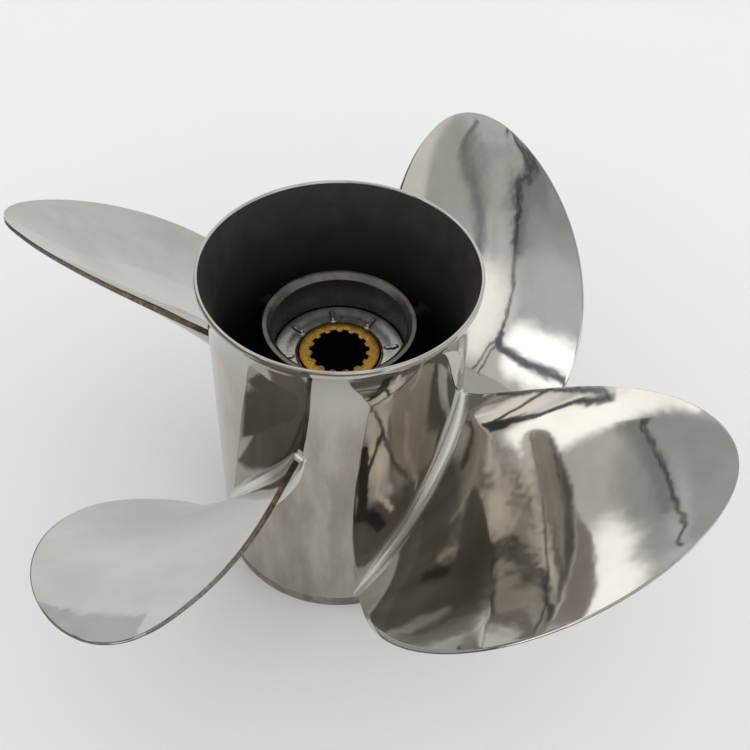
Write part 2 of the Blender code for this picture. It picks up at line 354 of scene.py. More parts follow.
def edge_steel():
    """The ground trailing edges: nearly black at the root, a painted shade where they meet the barrel; brown with
    painted glints further out, grey at the end.
    """
    n = Nodes("ground_edge")
    grain = n.spread(n.noise(1100.0, 4.0, 0.7), 0.36, 0.66)
    patches = n.spread(n.noise(150.0, 3.0), 0.35, 0.65)
    x, y, z, radius = n.axis_parts()
    brown = n.mix(grain, n.mix(patches, (0.10, 0.08, 0.055), (0.20, 0.16, 0.10)),
                  n.mix(patches, (0.24, 0.20, 0.145), (0.50, 0.41, 0.27)))
    grey = n.mix(grain, (0.20, 0.19, 0.17), (0.40, 0.38, 0.35))
    color = n.mix(n.spread(radius, 0.105, 0.145), brown, grey)
    # Painted shade: nearly black near the root, where the edge meets the barrel.
    color = n.mix(n.spread(radius, 0.066, 0.090, 0.85, 0.0), color, (0.03, 0.027, 0.024))
    normal = n.bump(grain, 0.00004)
    return n.done(Base_Color=color, Metallic=1.0, Roughness=0.38, Normal=normal)


def turned_steel():
    n = Nodes("turned_steel")
    x, y, z, radius = n.axis_parts()
    step = n.math("ADD", z, radius)
    rings = n.add("ShaderNodeTexNoise", noise_dimensions="1D")
    n.join(n.math("MULTIPLY", step, 2600.0), rings.inputs["W"])
    rings.inputs["Detail"].default_value = 4.0
    patches = n.noise(120.0, 4.0)
    color = n.mix(n.spread(patches, 0.3, 0.7), (0.125, 0.119, 0.11), (0.21, 0.20, 0.185))
    # Painted shade: the bore below the bevel, inside the ring, is darker.
    inside = n.math("MULTIPLY", n.spread(radius, HUB_BORE_R + 0.0006, HUB_BORE_R + 0.0002),
                    n.spread(z, HUB_REAR_Z - HUB_BEVEL + 0.0004, HUB_REAR_Z - HUB_BEVEL - 0.0002))
    color = n.mix(inside, color, (0.10, 0.096, 0.09))
    rough = n.spread(patches, 0.3, 0.7, 0.26, 0.36)
    normal = n.bump(rings.outputs["Fac"], 0.00005)
    return n.done(Base_Color=color, Metallic=1.0, Roughness=rough, Normal=normal)


def stamped_steel():
    n = Nodes("stamped_steel")
    patches = n.noise(160.0, 5.0, 0.6)
    color = n.mix(n.spread(patches, 0.3, 0.7), (0.42, 0.40, 0.37), (0.62, 0.60, 0.56))
    rough = n.spread(patches, 0.3, 0.7, 0.24, 0.34)
    normal = n.bump(n.noise(900.0, 3.0), 0.00005)
    return n.done(Base_Color=color, Metallic=1.0, Roughness=rough, Normal=normal)


def sintered_brass():
    n = Nodes("sintered_brass")
    grains = n.noise(1500.0, 3.0, 0.7)
    patches = n.noise(220.0, 3.0)
    color = n.mix(n.spread(grains, 0.36, 0.62), (0.23, 0.115, 0.017), (0.58, 0.36, 0.068))
    color = n.mix(n.spread(patches, 0.45, 0.75, 0.0, 0.35), color, (0.42, 0.24, 0.05))
    x, y, z, radius = n.axis_parts()
    # Painted shade: the spline bore turns nearly black from just below its rear face inward.
    bore_shade = n.math("MULTIPLY", n.spread(radius, SPLINE_GROOVE_R + 0.0006, SPLINE_GROOVE_R),
                  n.spread(z, SLEEVE_REAR_Z - 0.0002, SLEEVE_REAR_Z - 0.0016))
    color = n.mix(bore_shade, color, (0.004, 0.0035, 0.003))
    normal = n.bump(grains, 0.00010)
    return n.done(Base_Color=color, Metallic=1.0, Roughness=0.34, Normal=normal)


def black_rubber():
    n = Nodes("black_rubber")
    grain = n.noise(700.0, 4.0)
    color = n.mix(grain, (0.008, 0.008, 0.008), (0.022, 0.021, 0.020))
    return n.done(Base_Color=color, Roughness=0.78, Normal=n.bump(grain, 0.0001))


# Shells


def barrel_profile():
    """(profile, finish of each of its rows): 0 polished, 1 unpolished, 2 dark."""
    top = BARREL_LENGTH - LIP_HEIGHT
    lip = RIM_WALL / 2
    outer, finish = [], []
    for angle in np.radians(np.linspace(170.0, 0.0, 12)):
        outer.append((RIM_R - lip + lip * math.cos(angle), BARREL_LENGTH - lip + lip * math.sin(angle)))
        finish.append(0)
    for z in (BARREL_LENGTH - 0.0022, BARREL_LENGTH - 0.0032):
        outer.append((RIM_R - 0.00002, z))
        finish.append(0)
    for z in np.linspace(top, FLARE_START_Z, 18):
        step = 0.00035 * float(smooth(0.0, 0.0012, top + 0.0012 - z) * smooth(FLARE_START_Z, top - 0.002, z))
        outer.append((float(barrel_radius(z)) - step, z))
        finish.append(0)
    for z in np.linspace(FLARE_START_Z, BAND_HEIGHT + 0.0004, 60)[1:]:
        outer.append((float(barrel_radius(z)), z))
        finish.append(0)
    outer.append((BAND_TOP_R - 0.00025, BAND_HEIGHT))
    finish.append(1)
    for z in (BAND_HEIGHT * 0.7, BAND_HEIGHT * 0.35, 0.0007):
        outer.append((float(barrel_radius(z)) - 0.0002, z))
        finish.append(1)
    outer += [(BARREL_FRONT_R - 0.0009, 0.0), (BARREL_FRONT_R - BARREL_WALL + 0.0005, 0.0)]
    finish += [1, 1]
    inner = []
    for z in np.concatenate([[0.0005, BAND_HEIGHT], np.linspace(0.02, FLARE_START_Z, 20)]):
        inner.append((float(barrel_radius(z)) - BARREL_WALL, z))
    for z in np.linspace(FLARE_START_Z, top, 12)[1:]:
        inner.append((float(barrel_radius(z)) - BARREL_WALL, z))
    inner.append((RIM_R - RIM_WALL - 0.0006, BARREL_LENGTH - 0.0022))
    return outer + inner, finish + [2] * len(inner)


def build_barrel(polished, unpolished, dark):
    def uneven(radius, height, angle):
        outside = (radius > BARREL_FRONT_R - 0.0012) & (height > BAND_HEIGHT) & (height < BARREL_LENGTH - 0.004)
        fade = smooth(BAND_HEIGHT, BAND_HEIGHT + 0.006, height)
        waves = ripple(5, angle * BARREL_FRONT_R, height, 0.030, 0.00002)
        return np.where(outside, waves * fade, 0.0)

    profile, finish = barrel_profile()
    made = turn("barrel_shell", profile, BARREL_STEPS, (polished, unpolished, dark), finish, uneven)
    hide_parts("barrel")
    return made


SPAN_ROWS = 96
FOOT_ROWS = 12
CHORD_COLUMNS = 72
NOSE_COLUMNS = 12
TRAILING_COLUMNS = 10
TRAILING_CORNER = 0.0005
TRAILING_FOOT = 0.0010
# How far the rear face drops at the leading edge, and over what distance.
NOSE_ROLL = (0.0003, 0.0022)
# The leading edge is a long half ellipse, this many times as long as it is thick.
NOSE_LENGTH = 3.2
FOOT_SINK = 0.0004
GROUND_EDGE_END = 0.93


def blade_surface(span, chord, radius, offset, extra=0.0):
    """Points on the helix of the pitch at a span and a chord share, moved along the blade's normal and chord."""
    inside = np.clip(span, 0.0, 1.0)
    half = np.radians(along(HALF_CHORD, span)) * np.sqrt(np.maximum(0.0, 1.0 - inside**TIP_ROUNDING))
    angle = np.radians(along(SKEW, span)) + half * chord
    z = along(MIDDLE_Z, span) + PITCH / math.tau * half * chord
    near_root = np.maximum(0.0, 1.0 - inside / NOSE_SPAN)
    z = z - NOSE_DROP * near_root**2 * ((1.0 - chord) / 2) ** 3
    slope = np.arctan2(PITCH / math.tau, radius)
    angle = angle + (extra * np.cos(slope) - offset * np.sin(slope)) / radius
    z = z + extra * np.sin(slope) + offset * np.cos(slope)
    return np.stack([radius * np.cos(angle), radius * np.sin(angle), z], -1)


def edge_thickness(span, trailing):
    root, tip = TRAILING_EDGE if trailing else LEADING_EDGE
    share = span**2 if trailing else span**4
    blend = smooth(0.86, 1.0, span)
    common = (TRAILING_EDGE[1] + LEADING_EDGE[1]) / 2
    return (root + (tip - root) * share) * (1 - blend) + common * blend


def thickness(span, chord):
    middle = TIP_THICK + (ROOT_THICK - TIP_THICK) * (1.0 - span) ** THICKNESS_FALL
    middle = middle + (edge_thickness(span, True) - middle) * smooth(0.90, 1.0, span)
    edge = np.where(chord < 0.0, edge_thickness(span, False), edge_thickness(span, True))
    return edge + (middle - edge) * (1.0 - np.abs(chord) ** SECTION_FULLNESS)


def blade_points(seed):
    """(points, spans, heights above the barrel) of one blade at angle zero, a closed ring of points a row."""
    arc = [FILLET_R * (1 - math.sin(a)) for a in np.radians(np.linspace(90.0, 0.0, FOOT_ROWS))]
    lift = [FILLET_R * (1 - math.cos(a)) for a in np.radians(np.linspace(90.0, 0.0, FOOT_ROWS))]
    share = np.linspace(0.0, 1.0, SPAN_ROWS)
    start = FILLET_R / (TIP_R - ROOT_R)
    spans = start + (1.0 - start) * (1.0 - (1.0 - share) ** 2)
    spans[-1] = 1.0 - 1e-6
    above = np.concatenate([[-FOOT_SINK], arc, (TIP_R - ROOT_R) * spans[1:]])
    fillet = np.concatenate([[FILLET_R + FOOT_SINK], lift, np.zeros(len(spans) - 1)])
    span = np.clip(above / (TIP_R - ROOT_R), 0.0, 1.0)[:, None]
    chord = -np.cos(np.linspace(0.0, math.pi, CHORD_COLUMNS))[None, :]
    fillet = fillet[:, None]
    hold = 1.0 - smooth(0.0, 0.25, span)

    def radius_for(chords, offset, extra):
        radius = ROOT_R + above[:, None] + np.zeros(chords.shape)
        for _ in range(3):
            z = blade_surface(span, chords, radius, offset, extra)[..., 2]
            radius = above[:, None] + ROOT_R + (barrel_radius(z) - ROOT_R) * hold
        return radius

    wave = ripple(seed, chord * 0.06, span * 0.13, 0.034, 0.00002) * smooth(0.03, 0.15, span)
    cup = CUP_RISE * np.clip((chord - 1.0 + CUP_SHARE) / CUP_SHARE, 0.0, 1.0) ** 2
    cup = cup * smooth(1.0, 0.80, span)
    edge_share = 1.0 - 0.6 * np.maximum(0.0, -chord) ** 3 - 0.6 * np.maximum(0.0, chord) ** 4
    half_chord = np.radians(along(HALF_CHORD, span)) * np.sqrt(np.maximum(0.0, 1.0 - span**TIP_ROUNDING))
    from_nose = (1.0 + chord) * half_chord * (ROOT_R + span * (TIP_R - ROOT_R))
    rolled = NOSE_ROLL[0] * np.maximum(0.0, 1.0 - from_nose / NOSE_ROLL[1]) ** 2 * smooth(0.03, 0.12, span)
    nothing = np.zeros(chord.shape)
    rear = fillet * edge_share + cup + wave - rolled
    front = -fillet * edge_share + cup - thickness(span, chord) + wave
    rear_points = blade_surface(span, chord, radius_for(chord, rear, nothing), rear, nothing)
    front_points = blade_surface(span, chord, radius_for(chord, front, nothing), front, nothing)

    def rim(column, sign, corner, stretch, foot, columns):
        """Points round the edge from the rear face to the front face."""
        a, b = rear_points[:, column], front_points[:, column]
        middle = (a + b) / 2
        across = a - b
        full = np.linalg.norm(across, axis=-1, keepdims=True)
        across = across / full
        tangent = np.gradient(middle, axis=0)
        tangent = tangent / np.linalg.norm(tangent, axis=-1, keepdims=True)
        outward = np.cross(tangent, across) * sign
        outward = outward / np.linalg.norm(outward, axis=-1, keepdims=True)
        chordwise = rear_points[:, -1] - rear_points[:, -2] if sign > 0 else rear_points[:, 0] - rear_points[:, 1]
        chordwise = chordwise / np.maximum(1e-9, np.linalg.norm(chordwise, axis=-1, keepdims=True))
        low = smooth(0.10, 0.02, span)
        outward = outward * (1 - low) + chordwise * low
        outward = outward / np.linalg.norm(outward, axis=-1, keepdims=True)
        half = full / 2
        bulge = np.minimum(corner, half)
        points = []
        for i in range(1, columns + 1):
            turned_by = math.pi / 2 - math.pi * i / (columns + 1)
            flat = np.sign(turned_by) * (half - bulge)
            out = bulge * math.cos(turned_by) * stretch + fillet * foot
            points.append(middle + across * (flat + bulge * math.sin(turned_by)) + outward * out)
        return np.stack(points, 1)

    round_tip = smooth(0.88, 1.0, span)
    corner = (TRAILING_CORNER + 0.3 * fillet) * (1 - round_tip) + 0.01 * round_tip
    trailing = rim(-1, 1.0, corner, 1.0, TRAILING_FOOT / FILLET_R, TRAILING_COLUMNS)
    nose = 1.0 + (NOSE_LENGTH - 1.0) * smooth(0.03, 0.15, span) * smooth(0.98, 0.82, span)
    leading = rim(0, -1.0, 0.01, nose, 0.0, NOSE_COLUMNS)
    ring = [rear_points, trailing, front_points[:, ::-1], leading[:, ::-1]]
    return np.concatenate(ring, 1), span[:, 0], above


def build_blade(number, polished, edge):
    points, spans, above = blade_points(20 + number)
    rows, columns = points.shape[:2]
    angle = FIRST_BLADE_ANGLE + (number - 1) * math.tau / BLADES
    turn_by = np.array(Matrix.Rotation(angle, 3, "Z"))
    placed = points.reshape(-1, 3) @ turn_by.T
    faces = grid_faces(rows, columns)
    finish = np.zeros((rows - 1, columns), dtype=int)
    ground = (above[:-1] > FILLET_R * 0.5) & (spans[:-1] < GROUND_EDGE_END)
    finish[ground, CHORD_COLUMNS + 1:CHORD_COLUMNS + TRAILING_COLUMNS - 1] = 1
    last = (rows - 1) * columns
    caps = [tuple(last + i for i in range(columns)), tuple(reversed(range(columns)))]
    of_face = np.concatenate([finish.reshape(-1), [0, 0]])
    made = piece(f"blade_{number}_shell", placed, faces + caps, (polished, edge), of_face, 35.0)
    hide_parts(f"blade_{number}")
    return made


def build_inner_hub(steel):
    corners = [
        (HUB_R, HUB_REAR_Z),
        (HUB_R, HUB_FRONT_Z),
        (HUB_BORE_R, HUB_FRONT_Z),
        (HUB_BORE_R, HUB_REAR_Z - HUB_BEVEL),
        (HUB_BORE_R + HUB_BEVEL, HUB_REAR_Z),
    ]
    profile = round_profile(corners, (0.0005, 0.0006, 0.0006, 0.0003, 0.0003))
    made = turn("inner_hub_ring", profile, 192, (steel,))
    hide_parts("inner_hub")
    return made


def build_web(number, dark):
    """A web between the hub and the barrel, thicker where it runs into them."""
    inner, outer = HUB_R - 0.0002, None
    angle = FIRST_BLADE_ANGLE + (number - 1) * math.tau / BLADES
    heights = np.concatenate([
        RIB_FRONT_Z + 0.0012 * (1 - np.cos(np.linspace(0, math.pi / 2, 5))),
        np.linspace(RIB_FRONT_Z + 0.004, RIB_REAR_Z - 0.004, 12),
        RIB_REAR_Z - 0.0012 * (1 - np.sin(np.linspace(0, math.pi / 2, 5))),
    ])
    rows = []
    for i, z in enumerate(heights):
        outer = float(barrel_radius(z)) - BARREL_WALL + 0.0002
        across = np.linspace(0.0, 1.0, 14)
        radius = inner + (outer - inner) * across
        foot = np.minimum(radius - inner, outer - radius)
        flare = 0.0022 * np.maximum(0.0, 1 - foot / 0.0035) ** 2
        end = min(z - RIB_FRONT_Z, RIB_REAR_Z - z)
        half = RIB_THICK / 2 - 0.0009 * (1 - float(smooth(0.0, 0.0012, end))) + flare
        side = np.stack([radius, half, np.full(14, z)], -1)
        back = np.stack([radius[::-1], -half[::-1], np.full(14, z)], -1)
        rows.append(np.concatenate([side, back]))
    points = np.stack(rows)
    count, columns = points.shape[:2]
    turn_by = np.array(Matrix.Rotation(angle, 3, "Z"))
    placed = points.reshape(-1, 3) @ turn_by.T
    faces = [face[::-1] for face in grid_faces(count, columns)]
    faces += [tuple(range(columns)), tuple(reversed(range((count - 1) * columns, count * columns)))]
    made = piece(f"hub_web_{number}", placed, faces, (dark,))
    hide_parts(f"hub_rib_{number}")
    return made


def build_bush(rubber):
    corners = [
        (HUB_BORE_R - 0.0001, BUSH_REAR_Z),
        (HUB_BORE_R - 0.0001, BUSH_FRONT_Z),
        ((HUB_BORE_R + SLEEVE_R) / 2, BUSH_FRONT_Z + 0.0015),
        (SLEEVE_R + 0.0001, BUSH_FRONT_Z),
        (SLEEVE_R + 0.0001, BUSH_REAR_Z),
    ]
    profile = round_profile(corners, (0.0008, 0.0010, 0.0020, 0.0010, 0.0006))
    made = turn("rubber_bush_ring", profile, 144, (rubber,))
    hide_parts("rubber_bush")
    return made


def spline_radius(angle):
    """The bore's radius: flat-topped teeth, with short flanks and rounded corners."""
    share = (angle * SPLINE_TEETH / math.tau) % 1.0
    up = smooth(0.45, 0.585, share)
    down = smooth(0.915, 1.05, share) + smooth(-0.085, 0.05, share) - 1.0
    tooth = np.where(share > 0.75, 1.0 - smooth(0.915, 1.05, share), up)
    tooth = np.where(share < 0.25, 1.0 - smooth(-0.085, 0.05, share), tooth)
    return SPLINE_GROOVE_R + (SPLINE_TIP_R - SPLINE_GROOVE_R) * tooth


def build_sleeve(brass):
    steps = SPLINE_TEETH * 28
    angle = np.arange(steps) * math.tau / steps
    bore = spline_radius(angle)
    ring = np.full(steps, SLEEVE_R)
    edge, chamfer = 0.0006, 0.0004
    levels = [
        (bore, SLEEVE_REAR_Z - chamfer),
        (bore + chamfer * 0.3, SLEEVE_REAR_Z - chamfer * 0.3),
        (bore + chamfer, SLEEVE_REAR_Z),
        ((bore + ring) / 2, np.float64(SLEEVE_REAR_Z)),
        (ring - edge, SLEEVE_REAR_Z),
        (ring - edge * 0.3, SLEEVE_REAR_Z - edge * 0.3),
        (ring, SLEEVE_REAR_Z - edge),
        (ring, SLEEVE_FRONT_Z + edge),
        (ring - edge * 0.3, SLEEVE_FRONT_Z + edge * 0.3),
        (ring - edge, SLEEVE_FRONT_Z),
        (bore + chamfer, SLEEVE_FRONT_Z),
        (bore, SLEEVE_FRONT_Z + chamfer),
    ]
    rows = [np.stack([r * np.cos(angle), r * np.sin(angle), np.full(steps, z)], -1) for r, z in levels]
    for i in range(1, 8):
        z = SLEEVE_FRONT_Z + chamfer + (SLEEVE_REAR_Z - SLEEVE_FRONT_Z - 2 * chamfer) * i / 8
        rows.append(np.stack([bore * np.cos(angle), bore * np.sin(angle), np.full(steps, z)], -1))
    points = np.stack(rows)
    faces = [face[::-1] for face in grid_faces(len(rows), steps, wrap_rows=True)]
    made = piece("spline_sleeve_tube", points.reshape(-1, 3), faces, (brass,), sharp_angle=30.0)
    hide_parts("spline_sleeve")
    return made


# The visible plate's hole, close round the sleeve.
PLATE_LIP_R = 0.0199


def build_plate(steel):
    """The plate with its pressed ribs and the turned-up lips round its hole and its rim."""
    steps = 720
    low = BUSH_REAR_Z + 0.0003
    angle = (np.arange(steps) * math.tau / steps)[None, :]
    across = np.linspace(0.0, 1.0, 44)[:, None]
    radius = PLATE_LIP_R + 0.0003 + (PLATE_R - PLATE_LIP_R - 0.0006) * across
    length, width = PLATE_RIB_SIZE
    step = math.tau / PLATE_RIBS
    away = (angle - PLATE_RIB_ANGLE + step / 2) % step - step / 2
    along_rib = (radius - PLATE_RIB_R) / (length / 2)
    across_rib = away * radius / (width / 2)
    rib = np.clip(1.15 - np.sqrt(along_rib**2 + 0.0) ** 3, 0.0, 1.0) * np.clip(1.0 - across_rib**2, 0.0, 1.0)
    rib = smooth(0.0, 0.8, rib)
    dish = PLATE_DISH * smooth(0.45, 1.0, across)
    lip = 0.0005 * smooth(0.10, 0.0, across)
    top = low + PLATE_THICK + dish + lip + 0.00125 * rib
    upper = np.stack([radius * np.cos(angle), radius * np.sin(angle), top], -1)
    under_radius = radius[::-1] + np.zeros(angle.shape)
    under_z = (low + dish)[::-1] + np.zeros(angle.shape)
    under = np.stack([under_radius * np.cos(angle), under_radius * np.sin(angle), under_z], -1)

    def band(r, shares, z_low, z_high, inward):
        rows = []
        for share in shares:
            bulge = 0.0003 * math.sin(math.pi * share) * inward
            rr = r + bulge
            z = z_low + (z_high - z_low) * share
            rows.append(np.stack([rr * np.cos(angle[0]), rr * np.sin(angle[0]), np.full(steps, z)], -1))
        return np.stack(rows)

    outside = band(PLATE_R - 0.0003, (0.85, 0.5, 0.15), low + PLATE_DISH, low + PLATE_DISH + PLATE_THICK, 1.0)
    inside = band(PLATE_LIP_R + 0.0003, (0.15, 0.5, 0.85), low, low + PLATE_THICK + 0.0005, -1.0)
    points = np.concatenate([upper, outside, under, inside])
    faces = grid_faces(points.shape[0], steps, wrap_rows=True)
    made = piece("retaining_plate_disc", points.reshape(-1, 3), faces, (steel,), sharp_angle=50.0)
    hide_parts("retaining_plate")
    return made


# Camera, floor and light

CAMERA_PLACE = (0.0, -0.41664, 0.54779)
CAMERA_PITCH = 0.8072
CAMERA_YAW = 0.0421
CAMERA_ROLL = 0.037
CAMERA_LENS = 59.06


def build_camera():
    data = bpy.data.cameras.new("camera")
    data.sensor_width = 36.0
    data.lens = CAMERA_LENS
    data.clip_start = 0.01
    camera = link("camera", data)
    ahead = Vector((
        math.sin(CAMERA_YAW) * math.cos(CAMERA_PITCH),
        math.cos(CAMERA_YAW) * math.cos(CAMERA_PITCH),
        -math.sin(CAMERA_PITCH),
    ))
    level = Vector((math.cos(CAMERA_YAW), -math.sin(CAMERA_YAW), 0.0))
    over = level.cross(ahead)
    right = level * math.cos(CAMERA_ROLL) + over * math.sin(CAMERA_ROLL)
    up = over * math.cos(CAMERA_ROLL) - level * math.sin(CAMERA_ROLL)
    turned_to = Matrix((right, up, -ahead)).transposed().to_4x4()
    camera.matrix_world = Matrix.Translation(CAMERA_PLACE) @ turned_to
    bpy.context.scene.camera = camera


FLOOR_SIZE = 12.0
# Seen in the metal, the floor is painted: a little dimmer near the part, and dark beyond set distances on the left
# and in front; these are painted reflections.
# Each end is (azimuth, cosines of the far and near sides of its sector, where the floor fades out in metres).
FLOOR_ENDS = ((-82, (0.81, 0.87), (0.20, 0.26)), (-150, (0.44, 0.56), (0.23, 0.27)))
FLOOR_DARK = (0.17, 0.16, 0.145)
FLOOR_IN_METAL = (0.745, 0.74, 0.725)


def build_floor():
    n = Nodes("pale_floor")
    color = n.mix(n.noise(6.0, 3.0), (0.83, 0.83, 0.83), (0.85, 0.85, 0.85))
    x, y, z, radius = n.axis_parts()
    outside = 0.0
    for azimuth, sides, fade in FLOOR_ENDS:
        heading = direction(azimuth, 0)
        ahead = n.math("ADD", n.math("MULTIPLY", x, heading.x), n.math("MULTIPLY", y, heading.y))
        part = n.math("MULTIPLY", n.spread(n.math("DIVIDE", ahead, radius), *sides), n.spread(radius, *fade))
        outside = n.math("MAXIMUM", part, outside)
    # Painted reflection: rays from the metal see the floor in FLOOR_IN_METAL, darkened to FLOOR_DARK beyond its ends.
    in_metal = n.add("ShaderNodeLightPath").outputs["Is Glossy Ray"]
    color = n.mix(in_metal, color, n.mix(outside, FLOOR_IN_METAL, FLOOR_DARK))
    finish = n.done(Base_Color=color, Roughness=0.6, Specular_IOR_Level=0.2)
    points = [(x * FLOOR_SIZE, y * FLOOR_SIZE, 0.0) for x, y in ((-1, -1), (1, -1), (1, 1), (-1, 1))]
    mesh = bpy.data.meshes.new("floor")
    mesh.from_pydata(points, [], [(0, 1, 2, 3)])
    mesh.materials.append(finish)
    link("floor", mesh)


# The studio round the part, by direction: azimuth from +Y towards +X and elevation, both in degrees.
# Each soft area of the walls is (azimuth, elevation, core and outer radius in degrees, colour).
SOFT_AREAS = (
    ("ceiling", 120, 90, 28, 32, (0.44, 0.43, 0.415)),
    ("back wall", -5, 55, 15, 22, (1.00, 0.99, 0.97)),
    ("back left low", -27, 3, 5, 14, (0.56, 0.555, 0.54)),
    ("ceiling right", 86, 62, 5, 12, (0.37, 0.365, 0.35)),
    ("ceiling front", 146, 66, 4, 14, (0.60, 0.595, 0.58)),
    ("right wall", 90, 46, 9, 15, (0.48, 0.47, 0.44)),
    ("right wall low", 82, 30, 7, 12, (0.75, 0.73, 0.68)),
    ("right wall bright", 131, 45, 3, 14, (1.30, 1.26, 1.18)),
    ("front wall right", 157, 43, 4, 10, (0.70, 0.68, 0.63)),
    ("front lamp", 157, 52.5, 3, 8, (1.75, 1.74, 1.70)),
    ("front lamp middle", 165, 56, 3, 7.5, (1.75, 1.74, 1.70)),
    ("front lamp end", 173, 59.5, 3.5, 8, (1.75, 1.74, 1.70)),
    ("ceiling left", -97, 60, 6, 12, (0.42, 0.41, 0.395)),
    ("left wall", -85, 44, 8, 13, (0.56, 0.54, 0.50)),
    ("left lamp", -63, 45.5, 4, 9, (1.35, 1.32, 1.25)),
    ("left wall dim", -77, 51.5, 1, 8, (0.38, 0.372, 0.355)),
    ("left low wall", -108, 20, 11, 16, (0.50, 0.47, 0.41)),
    ("front low wall", -148, 24, 12, 17, (0.40, 0.37, 0.32)),
    ("front wall left", -126, 29, 5, 10, (0.98, 0.93, 0.84)),
    ("left wall bright", -107, 41, 8, 12, (1.45, 1.41, 1.32)),
)
LOW_DARK = (0.165, 0.158, 0.143)
# Bands and seams of the walls: name, width in degrees, soft share of the width, colour and path.
BANDS = (
    ("light band", 2.6, 1.0, (0.56, 0.545, 0.51), ((72, 56.6), (80, 57.0), (90, 57.5), (100, 57.3), (108, 56.2),
                                                   (114, 55.0), (120, 53.6))),
    ("dark band", 5.0, 1.0, (0.23, 0.228, 0.222), ((66, 50.5), (74, 52.5), (82, 53.6), (92, 54.1), (100, 53.9),
                                                   (108, 52.4), (116, 50.2))),
    ("ceiling edge", 4.6, 1.0, (0.27, 0.265, 0.26), ((62, 54.2), (70, 57.4), (80, 59.8), (90, 60.6), (100, 60.8),
                                                     (112, 60.2), (122, 58.8))),
    ("corner glow", 3.0, 0.8, (1.30, 1.27, 1.20), ((-134, 39.5), (-127, 43), (-119, 47.5), (-112, 50))),
    ("left shade", 6.4, 1.0, (0.26, 0.255, 0.25), ((-100, 50.2), (-94, 51.0), (-88, 52.8), (-82, 54.0), (-77, 54.6),
                                                   (-73, 55.2))),
    ("light streak", 4.4, 1.0, (0.98, 0.92, 0.82), ((-126, 10), (-127.5, 22), (-128, 34))),
    ("dark streak", 4.0, 1.0, (0.26, 0.24, 0.205), ((-133, 12), (-135, 22), (-134.5, 33))),
    ("far streak", 3.0, 1.0, (0.58, 0.54, 0.47), ((-141, 12), (-143.5, 22), (-145, 32))),
    ("front gap", 7.0, 0.6, (0.12, 0.115, 0.105), ((-156, 17), (-158, 24), (-163, 32))),
    ("right top seam", 1.1, 0.5, (0.04, 0.04, 0.05), ((60, 52), (65, 54), (70, 56.3), (75, 57.8), (80, 58.8),
                                                      (90, 59.6), (100, 59.8), (110, 59.4), (120, 58.4),
                                                      (130, 56.6), (136, 54.6), (141, 52.2), (145, 48.8))),
    ("front top seam", 3.4, 0.7, (0.13, 0.135, 0.17), ((144.5, 49.6), (146, 48.2), (150, 48.4), (155, 50.2),
                                                       (160, 52.0), (165, 54.0), (170, 55.8), (175, 58.0),
                                                       (180, 60.6))),
    ("front right seam", 0.9, 0.5, (0.08, 0.08, 0.09), ((145, 48), (144.2, 45), (144.8, 42), (145.6, 39),
                                                        (146.4, 36))),
    ("front right line", 0.9, 0.5, (0.08, 0.08, 0.09), ((146, 48), (146.9, 45), (147.5, 42), (148.6, 39),
                                                        (149.6, 36))),
    ("left top seam", 1.2, 0.5, (0.05, 0.05, 0.06), ((-101, 52), (-95, 52.8), (-88, 54.5), (-80, 56), (-75, 56.8),
                                                     (-71, 59.5))),
    ("front left seam", 1.7, 0.4, (0.06, 0.06, 0.06), ((-112, 44.6), (-116, 44), (-119, 42.5), (-122, 40),
                                                       (-127, 35), (-132, 29), (-137, 22), (-140, 17))),
    ("corner gap", 3.0, 0.3, (0.05, 0.05, 0.05), ((-113.5, 43.5), (-117.5, 40), (-117, 37.5), (-115.5, 34.5),
                                                  (-117.5, 31), (-118, 28))),
    ("corner gap low", 7.5, 0.25, (0.045, 0.045, 0.045), ((-116.5, 31), (-118, 24), (-117.5, 14), (-118, 6))),
    ("right low seam", 5.0, 0.5, (0.10, 0.10, 0.10), ((38, 13), (60, 14), (85, 14.5), (110, 14), (125, 13))),
    ("corner line", 2.2, 0.4, (0.05, 0.05, 0.05), ((-130, 31), (-127, 29.5), (-124, 27), (-120, 24.4),
                                                   (-114, 21.6), (-106, 20.6), (-92, 22))),
)
# Dark openings between the walls: name, colour and outline.
OPENINGS = (
    ("left opening", (0.25, 0.225, 0.195), ((-92, 10), (-92, 34), (-86, 36), (-80, 37.6), (-74, 39.0),
                                           (-68, 41.2), (-63, 42.0), (-59, 41), (-56.5, 24), (-50, 14))),
)
STUDIO_CENTRE = (0.0, 0.0, 0.10)
STUDIO_RADIUS = 40.0
LOW_DARK_AZIMUTH = -104
# Light for matt surfaces: at the horizon and overhead.
PLAIN_LIGHT = ((1.50, 1.50, 1.50), (0.67, 0.67, 0.67))


def direction(azimuth, elevation):
    a, e = math.radians(azimuth), math.radians(elevation)
    return Vector((math.sin(a) * math.cos(e), math.cos(a) * math.cos(e), math.sin(e)))


